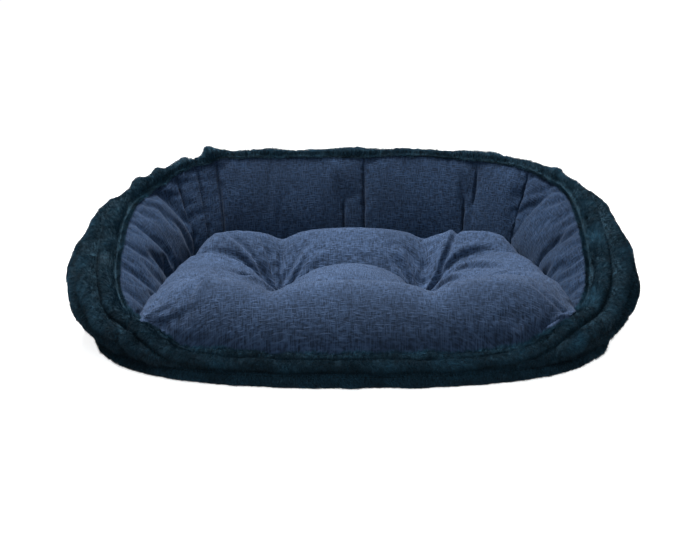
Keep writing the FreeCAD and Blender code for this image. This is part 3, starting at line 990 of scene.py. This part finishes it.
def cushion_plan(a, b):
    """Coons patch between the cushion's bowed edges; a runs left to right and b front to back."""
    fl, fr, bl, br = (np.array(corner) for corner in CUSHION_CORNERS.values())
    u = ((a + 1) / 2)[..., None]
    v = ((b + 1) / 2)[..., None]
    front = (1 - u) * fl + u * fr
    front[..., 1] = CUSHION_FRONT + (front[..., 1] - CUSHION_FRONT) * np.abs(a) ** 2.6
    back = (1 - u) * bl + u * br
    back[..., 1] = CUSHION_BACK + (back[..., 1] - CUSHION_BACK) * np.abs(a) ** 2.5
    bow = np.stack([CUSHION_SIDE_BOW * (1 - b * b), np.zeros_like(b)], -1)
    left = (1 - v) * fl + v * bl - bow
    right = (1 - v) * fr + v * br + bow
    corners = (1 - u) * (1 - v) * fl + u * (1 - v) * fr + (1 - u) * v * bl + u * v * br
    return (1 - v) * front + v * back + (1 - u) * left + u * right - corners


def valley(away, narrow):
    """From 1 on the line between two puffs to 0 at their rounded tops."""
    return 0.62 * np.exp(-((np.abs(away) / narrow) ** 1.5)) + 0.38 * hump(away, 3.2 * narrow)


def ridge_height(x, y):
    """Height of the stuffed cushion's top: rows of puffs, lower along the lines between the tufts."""
    level = np.interp(y, *PUFF_LEVEL)
    side = np.abs(x)
    beyond = np.maximum(side - 0.13, 0.0)
    flat = np.stack([x, y, 0 * x], -1)
    waver = 0.007 * noise(flat, 0.11, 33)
    front_line = y + 0.123 - np.where(x > 0, 0.28, 0.14) * beyond + waver
    back_line = y - 0.045 - 0.18 * beyond + waver
    fading = np.clip(beyond / 0.12, 0, 1)
    front_rows = 0.044 + (np.where(x > 0, 0.014, 0.026) - 0.044) * fading
    back_rows = 0.054 - 0.030 * fading
    valleys = valley(front_line, 0.020) * front_rows + valley(back_line, 0.019) * back_rows
    height = level - valleys - valley(side - 0.131 + 0.6 * waver, 0.022) * np.interp(y, *VALLEY_DEPTH)
    middle_row = np.exp(-(((y + 0.04) / 0.055) ** 4)) * (1 - 0.8 * fading)
    height = height - 0.022 * np.clip(side / 0.13, 0, 1) ** 2.2 * middle_row
    height = height - 0.024 * smooth(side, 0.22, 0.36) * smooth(-y, 0.10, 0.24)
    for tuft_x, tuft_y in TUFTS:
        away = np.hypot(x - tuft_x, y - tuft_y)
        turn = np.arctan2(y - tuft_y, x - tuft_x)
        spokes = (0.5 + 0.5 * np.cos(TUFT_FOLDS * turn + 9.0 * tuft_x + 1.6 * noise(flat, 0.05, 34))) ** 2
        height = height - 0.011 * spokes * hump(away - 0.034, 0.026)
        height = height - (height - TUFT_TOP) * np.exp(-((away / 0.028) ** 1.3))
    return height


def from_middle(points, axis):
    """How far along its grid line each point is, counted from the middle of the line."""
    run = np.cumsum(np.linalg.norm(np.diff(points, axis=axis), axis=2), axis)
    run = np.concatenate([np.zeros_like(np.take(run, [0], axis)), run], axis)
    return run - np.take(run, [-1], axis) / 2


plan = cushion_plan(a, b)
front_edge = 0.033 + 0.046 * np.abs(a) ** 5.5
edge_height = front_edge + (0.060 - front_edge) * smooth(b, -1.0, 0.2)
toward_front = smooth(-b, 0.2, 1.0)
from_side = (1 - np.abs(a)) * 0.34
from_end = (1 - np.abs(b)) * 0.25
rounding = (from_side**CORNER_ROUNDING + from_end**CORNER_ROUNDING + 1e-12) ** (1 / CORNER_ROUNDING)
inward = from_side * from_end / rounding
pointed = smooth(np.abs(a), 0.72, 1.0) * smooth(-b, 0.45, 1.0)
dome = (1 - (1 - np.clip(inward / (0.070 + 0.038 * toward_front), 0, 1)) ** 2.1) ** (0.62 + 0.12 * pointed)
peak = ridge_height(plan[..., 0], plan[..., 1])
top_height = edge_height + (peak - edge_height) * dome
low_height = edge_height + (TUFT_BOTTOM - edge_height) * smooth(inward, 0.0, 0.06)
top, low = (np.concatenate([plan, height[..., None]], -1) for height in (top_height, low_height))
flat = np.stack([from_middle(plan, 0), from_middle(plan, 1)], -1) * (1 + CUSHION_SLACK)

edge = np.zeros(a.shape, bool)
edge[0, :] = edge[-1, :] = edge[:, 0] = edge[:, -1] = True
top_index = np.arange(a.size).reshape(a.shape)
low_index = top_index.copy()
low_index[~edge] = a.size + np.arange((~edge).sum())

start = np.concatenate([top.reshape(-1, 3), low[~edge]])
cut = np.concatenate([flat.reshape(-1, 2), flat[~edge]])
faces = np.concatenate([quads_of(top_index), quads_of(low_index)[:, ::-1]]).tolist()
cushion_cloth = placed("cushion_cloth", cloth_mesh("cushion_cloth", start, faces, cut))
soft = np.zeros(len(start))
soft[top_index.reshape(-1)] = FOLLOW
pinned = list(top_index[edge])
for x, y in TUFTS:
    for index, surface in ((top_index, top), (low_index, low)):
        near = np.hypot(surface[..., 0] - x, surface[..., 1] - y) < TUFT_HELD
        pinned += list(index[near])

wall_stations = Stations(0, 360, 300)
bowl, _ = inside_section(wall_stations, np.linspace(0, 1, 13))
over, _ = outside_section(wall_stations, np.linspace(0, 1, 15))
nest_points = np.concatenate([over[:, 9:0:-1], bowl], 1)[:-1]
nest = placed("nest", grid_mesh("nest", nest_points, nest_points[..., :2], closed=True))
deck_stop = placed("deck_stop", level_mesh("deck_stop", 0.5, 0.4, SLAB_TOP))
shape = start
near_tuft = np.min([np.hypot(start[:, 0] - x, start[:, 1] - y) for x, y in TUFTS], axis=0)
slack = CUSHION_SLACK + 0.03 * noise(start, 0.09, 32) + 0.12 * hump(near_tuft, 0.06)
slack = slack * (1 - 0.75 * smooth(-start[:, 1], 0.17, 0.22))
shape = simulate(
    cushion_cloth, slack, pinned, frames=22, pressure=40.0, stiffness=12.0, bending=0.04,
    colliders=(nest, deck_stop), gravity=0.3, soft=soft,
)
for scratch in (cushion_cloth, nest, deck_stop):
    discard(scratch)
shape[:, 2] = np.maximum(shape[:, 2], SLAB_TOP + SKIN_CLEAR)


def evened(grid, passes):
    """The grid with its finest crumpling smoothed out and its outline kept."""
    grid = grid.copy()
    for _ in range(passes):
        beside = grid[2:, 1:-1] + grid[:-2, 1:-1] + grid[1:-1, 2:] + grid[1:-1, :-2]
        grid[1:-1, 1:-1] = 0.5 * grid[1:-1, 1:-1] + 0.125 * beside
    return grid


def refined(grid, times):
    """The grid with every cell split evenly, on smooth curves through its points."""
    for axis in (0, 1):
        line = np.moveaxis(grid, axis, 0)
        line = np.concatenate([2 * line[:1] - line[1:2], line, 2 * line[-1:] - line[-2:-1]])
        before, start_at, end_at, after = line[:-3], line[1:-2], line[2:-1], line[3:]
        steps = []
        for t in np.arange(times) / times:
            steps.append(
                start_at + 0.5 * t * (end_at - before)
                + t * t * (before - 2.5 * start_at + 2 * end_at - 0.5 * after)
                + t**3 * (1.5 * (start_at - end_at) + 0.5 * (after - before))
            )
        finer = np.stack(steps, 1).reshape((-1,) + line.shape[1:])
        grid = np.moveaxis(np.concatenate([finer, line[-2:-1]]), 0, axis)
    return grid


def creases(points, gathers):
    """Crisp folds fanning out from each gathered place, pressed in with a raised lip beside them."""
    x, y = points[..., 0], points[..., 1]
    depth = np.zeros(x.shape)
    for gather, (centre_x, centre_y, count, near, far, deep) in enumerate(gathers):
        away = np.hypot(x - centre_x, y - centre_y)
        turn = np.arctan2(y - centre_y, x - centre_x)
        for fold in range(count):
            angle = 2 * math.pi * (fold + 0.38 * math.sin(2.4 * fold + 1.7 * gather)) / count + 0.4 * gather
            outward = max(0.0, math.cos(angle) * math.copysign(1, centre_x))
            reach = near * (1 + 0.4 * math.sin(1.9 * fold + 0.8 * gather)) + far * outward
            curl = 0.40 * math.sin(3.1 * fold + gather) * away / 0.1
            across = away * np.sin(turn - angle - curl)
            ahead = smooth(np.cos(turn - angle - curl), 0.0, 0.3)
            width = CREASE_WIDTH + 0.026 * away
            profile = hump(across, width) - 0.6 * hump(across - 2.0 * width, 1.4 * width)
            strength = smooth(away, 0.005, 0.014) * (1 - smooth(away, 0.55 * reach, reach))
            depth += deep * (0.75 + 0.25 * math.sin(5.3 * fold + gather)) * profile * strength * ahead
    normal = np.cross(np.gradient(points, axis=0), np.gradient(points, axis=1))
    normal /= np.linalg.norm(normal, axis=-1, keepdims=True) + 1e-12
    return points - normal * depth[..., None]


def cushion_piece(name, mesh, hidden):
    """A woven piece of the cushion, which stands for the hidden CAD nodes."""
    return new_object(name, mesh, "cushion", hidden, WOVEN)


FINER = 3
# Gathered places: x, y, number of folds, their reach, what they reach further toward the sides, and depth.
GATHERS = [(x, y, 15, 0.045, 0.140, CREASE_DEPTH) for x, y in TUFTS]
GATHERS += [
    (*CUSHION_CORNERS[corner], 13, 0.075, 0.0, 0.4 * CREASE_DEPTH) for corner in ("front_left", "front_right")
]
top_points = creases(refined(evened(shape[top_index], 2), FINER), GATHERS)
low_points = shape[low_index]
mesh = grid_mesh("cushion_top", top_points, refined(flat, FINER))
cushion_piece("cushion_top", mesh, ["cushion_top_panel", "cushion_filling"])
mesh = grid_mesh("cushion_bottom", low_points, flat, flip=True)
cushion_bottom = cushion_piece("cushion_bottom", mesh, ["cushion_bottom_panel"])
subdivided(cushion_bottom)

edge_line = np.concatenate([
    top_points[:-1, 0], top_points[-1, :-1], top_points[:0:-1, -1], top_points[0, :0:-1],
])
swelling = 0.0014 + 0.0004 * noise(edge_line, 0.02, 61)
roll = tube_along(edge_line - (0, 0, 0.0012), swelling, ring=8, closed=True)
cushion_piece("cushion_seam_roll", mesh_of_parts("cushion_seam_roll", [roll]), ["cushion_edge_seam"])


def grid_point(grid, x, y):
    """The grid's point nearest to a place in plan."""
    away = np.hypot(grid[..., 0] - x, grid[..., 1] - y)
    i, j = np.unravel_index(int(np.argmin(away)), away.shape)
    return grid[i, j]


TIE_NAMES = ("back_left", "back_right", "front_left", "front_right")
CORD_RADIUS = 0.0012
BAR_RADIUS = 0.0007
BAR_HALF = 0.0045
bar = np.linspace(-1, 1, 7)
hop = 0.0012 * (1 - bar**2) + 0.0002
for (x, y), name in zip(TUFTS, TIE_NAMES):
    upper = grid_point(top_points, x, y)
    lower = grid_point(low_points, x, y)
    cord = np.linspace(lower + (0, 0, 0.0004), upper + (0, 0, 0.0006), 12)
    parts = [tube_along(cord, np.full(12, CORD_RADIUS))]
    for tilt in (0.4, 2.0):
        for end, rise in ((upper, hop), (lower, 0.0002 - hop)):
            stitch = np.stack([BAR_HALF * bar * math.cos(tilt), BAR_HALF * bar * math.sin(tilt), rise], -1)
            parts.append(tube_along(end + stitch, np.full(7, BAR_RADIUS)))
    mesh = mesh_of_parts(f"tuft_stitch_{name}", parts)
    new_object(f"tuft_stitch_{name}", mesh, "cushion", [f"tuft_tie_{name}"], CUSHION_THREAD)

# ---------------------------------------------------------------- floor, light, camera
FLOOR_GLOW = 0.84
floor = placed("floor", level_mesh("floor", 12, 12, 0))
floor_look = Nodes("floor", (0.92, 0.92, 0.92), 1.0, specular=0.0)
set_inputs(floor_look.shader, {"Emission Color": (1, 1, 1, 1), "Emission Strength": FLOOR_GLOW})
floor.data.materials.append(floor_look.material)


def area_light(name, place, target, size, power, colour=(1, 1, 1)):
    """A rectangular light at a place, turned toward a target."""
    light = bpy.data.lights.new(name, "AREA")
    light.shape = "RECTANGLE"
    light.size, light.size_y = size
    light.energy = power
    light.color = colour
    obj = placed(name, light)
    obj.location = place
    obj.rotation_euler = (Vector(target) - Vector(place)).to_track_quat("-Z", "Y").to_euler()


area_light("overhead", (-0.50, 0.60, 2.2), (0, 0.0, 0.1), (1.1, 0.6), 142)
area_light("front_fill", (0.4, -2.4, 1.7), (0, 0, 0.1), (2.0, 1.2), 31, (0.86, 1.0, 1.07))
area_light("rear_fill", (0.5, 2.4, 1.3), (0, 0, 0.1), (2.0, 1.2), 22)
floor.visible_diffuse = False
world = bpy.data.worlds.new("studio")
bpy.context.scene.world = world
world.use_nodes = True
sky = world.node_tree
direction = sky.nodes.new("ShaderNodeTexCoord")
parts = sky.nodes.new("ShaderNodeSeparateXYZ")
height = sky.nodes.new("ShaderNodeMapRange")
set_inputs(height, {"From Min": -0.05, "From Max": 0.9, "To Min": 0.08, "To Max": 0.24})
sky.links.new(direction.outputs["Generated"], parts.inputs["Vector"])
sky.links.new(parts.outputs["Z"], height.inputs["Value"])
sky.links.new(height.outputs["Result"], sky.nodes["Background"].inputs["Strength"])
sky.nodes["Background"].inputs["Color"].default_value = (1, 1, 1, 1)

ELEVATION = 15.5
DISTANCE = 2.6
PITCH_UP = 1.96
LENS = 75.8
SIDE = -0.0044
camera = placed("camera", bpy.data.cameras.new("camera"))
camera.data.lens = LENS
camera.data.sensor_width = 36
tilt = math.radians(ELEVATION)
camera.location = (SIDE, -DISTANCE * math.cos(tilt), DISTANCE * math.sin(tilt))
camera.rotation_euler = (math.radians(90 - ELEVATION + PITCH_UP), 0, 0)
bpy.context.scene.camera = camera
bpy.context.scene.view_settings.view_transform = "Standard"
